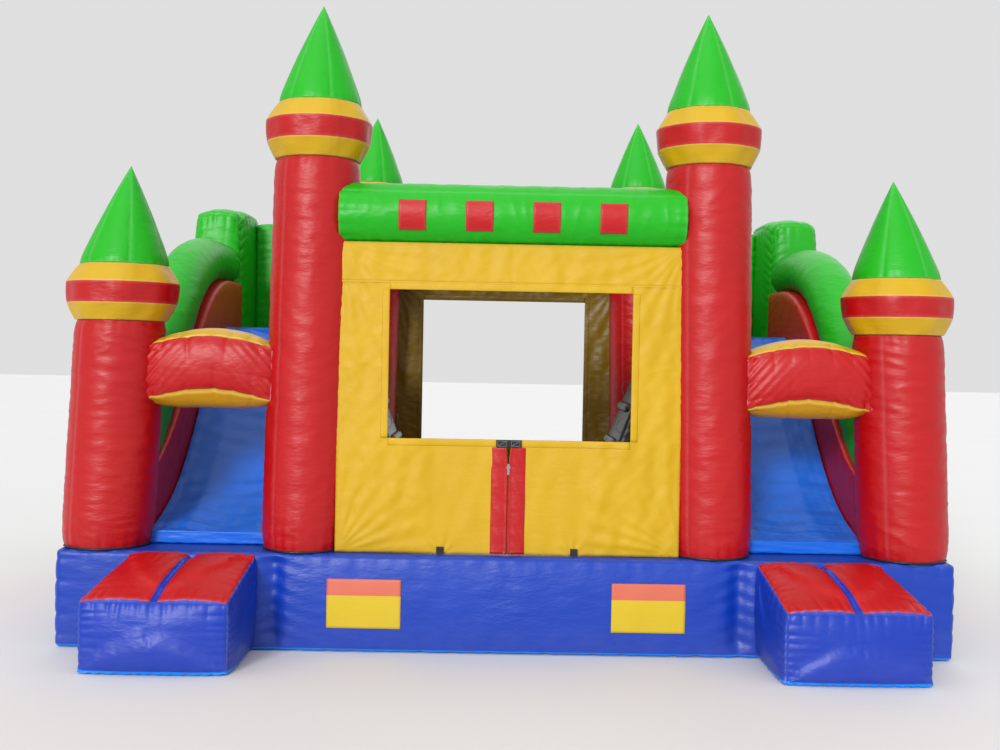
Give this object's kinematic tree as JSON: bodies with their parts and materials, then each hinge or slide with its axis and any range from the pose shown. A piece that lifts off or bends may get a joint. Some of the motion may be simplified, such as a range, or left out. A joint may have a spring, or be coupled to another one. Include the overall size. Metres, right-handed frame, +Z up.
{
  "type": "inflatable bounce house",
  "caption": "Inflatable castle bounce house with cone-roofed towers, windowed fabric walls, a zipped doorway and a slide with a landing pad on each side.",
  "frame": {"origin": "centre of the whole outline, on the ground", "axes": "+X to the right of someone facing the doorway, +Y from the doorway to the back, +Z up"},
  "size_m": [5.5662, 4.85, 3.987],
  "materials": {
    "red_vinyl": "satin",
    "yellow_vinyl": "satin",
    "green_vinyl": "satin",
    "blue_vinyl": "satin",
    "slide_vinyl": "satin",
    "black_vinyl": "satin",
    "webbing": "matte",
    "zip_plastic": "satin",
    "ring_steel": "satin"
  },
  "bodies": {
    "castle": {"base_mattress": "blue_vinyl", "front_beam": "green_vinyl", "front_panel": "yellow_vinyl", "inlet_sleeve": "blue_vinyl", "left_bridge": "red_vinyl", "left_climb_ramp": "black_vinyl", "left_front_anchor_tab": "webbing", "left_inner_tower_collar": "yellow_vinyl", "left_inner_tower_cone": "green_vinyl", "left_inner_tower_shaft": "red_vinyl", "left_landing_pad": "blue_vinyl", "left_outer_tower_collar": "yellow_vinyl", "left_outer_tower_cone": "green_vinyl", "left_outer_tower_shaft": "red_vinyl", "left_rear_anchor_tab": "webbing", "left_rear_column": "green_vinyl", "left_rear_tower_collar": "yellow_vinyl", "left_rear_tower_cone": "green_vinyl", "left_rear_tower_shaft": "red_vinyl", "left_rear_wall": "green_vinyl", "left_side_wall": "red_vinyl", "left_slide_chute": "slide_vinyl", "left_slide_platform": "slide_vinyl", "left_slide_rail_tube": "green_vinyl", "left_slide_rail_wall": "red_vinyl", "rear_beam": "green_vinyl", "rear_panel": "yellow_vinyl", "right_bridge": "red_vinyl", "right_climb_ramp": "black_vinyl", "right_front_anchor_tab": "webbing", "right_inner_tower_collar": "yellow_vinyl", "right_inner_tower_cone": "green_vinyl", "right_inner_tower_shaft": "red_vinyl", "right_landing_pad": "blue_vinyl", "right_outer_tower_collar": "yellow_vinyl", "right_outer_tower_cone": "green_vinyl", "right_outer_tower_shaft": "red_vinyl", "right_rear_anchor_tab": "webbing", "right_rear_column": "green_vinyl", "right_rear_tower_collar": "yellow_vinyl", "right_rear_tower_cone": "green_vinyl", "right_rear_tower_shaft": "red_vinyl", "right_rear_wall": "green_vinyl", "right_side_wall": "red_vinyl", "right_slide_chute": "slide_vinyl", "right_slide_platform": "slide_vinyl", "right_slide_rail_tube": "green_vinyl", "right_slide_rail_wall": "red_vinyl", "zip_top_tab": "webbing"},
    "left_door": {"left_door_flap": "yellow_vinyl", "left_zip_strip": "red_vinyl"},
    "right_door": {"right_door_flap": "yellow_vinyl", "right_zip_strip": "red_vinyl"},
    "zip_slider": {"zip_slider": "zip_plastic"},
    "zip_pull": {"zip_pull": "zip_plastic"},
    "outlet_flap": {"outlet_flap": "blue_vinyl"},
    "left_front_ring": {"left_front_anchor_ring": "ring_steel"},
    "left_rear_ring": {"left_rear_anchor_ring": "ring_steel"},
    "right_front_ring": {"right_front_anchor_ring": "ring_steel"},
    "right_rear_ring": {"right_rear_anchor_ring": "ring_steel"}
  },
  "joints": [
    {"name": "left_door_fold", "type": "hinge", "parent": "castle", "child": "left_door", "pos_m": [-0.2, -1.769, 0.934], "axis": [-0.5206, 0, -0.8538], "range_deg": [0, 100]},
    {"name": "right_door_fold", "type": "hinge", "parent": "castle", "child": "right_door", "pos_m": [0.2, -1.769, 0.934], "axis": [-0.5206, 0, 0.8538], "range_deg": [0, 100]},
    {"name": "zip_slide", "type": "slide", "parent": "left_door", "child": "zip_slider", "axis": [0, 0, 1], "range_m": [-0.46, 0.035]},
    {"name": "zip_pull_swing", "type": "hinge", "parent": "zip_slider", "child": "zip_pull", "pos_m": [0, -1.7858, 1.14], "axis": [-1, 0, 0], "range_deg": [0, 150]},
    {"name": "outlet_flap_swing", "type": "hinge", "parent": "castle", "child": "outlet_flap", "pos_m": [-1.9, 2.111, 0.3415], "axis": [1, 0, 0], "range_deg": [0, 165]},
    {"name": "left_front_ring_swing", "type": "hinge", "parent": "castle", "child": "left_front_ring", "pos_m": [-2.7625, -0.995, 0.112], "axis": [0, 1, 0], "range_deg": [0, 150]},
    {"name": "left_rear_ring_swing", "type": "hinge", "parent": "castle", "child": "left_rear_ring", "pos_m": [-2.7625, 1.455, 0.112], "axis": [0, 1, 0], "range_deg": [0, 150]},
    {"name": "right_front_ring_swing", "type": "hinge", "parent": "castle", "child": "right_front_ring", "pos_m": [2.7625, -0.995, 0.112], "axis": [0, -1, 0], "range_deg": [0, 150]},
    {"name": "right_rear_ring_swing", "type": "hinge", "parent": "castle", "child": "right_rear_ring", "pos_m": [2.7625, 1.455, 0.112], "axis": [0, -1, 0], "range_deg": [0, 150]}
  ],
  "couplings": [
    {"joint": "right_door_fold", "follows": "left_door_fold", "ratio": 1}
  ]
}
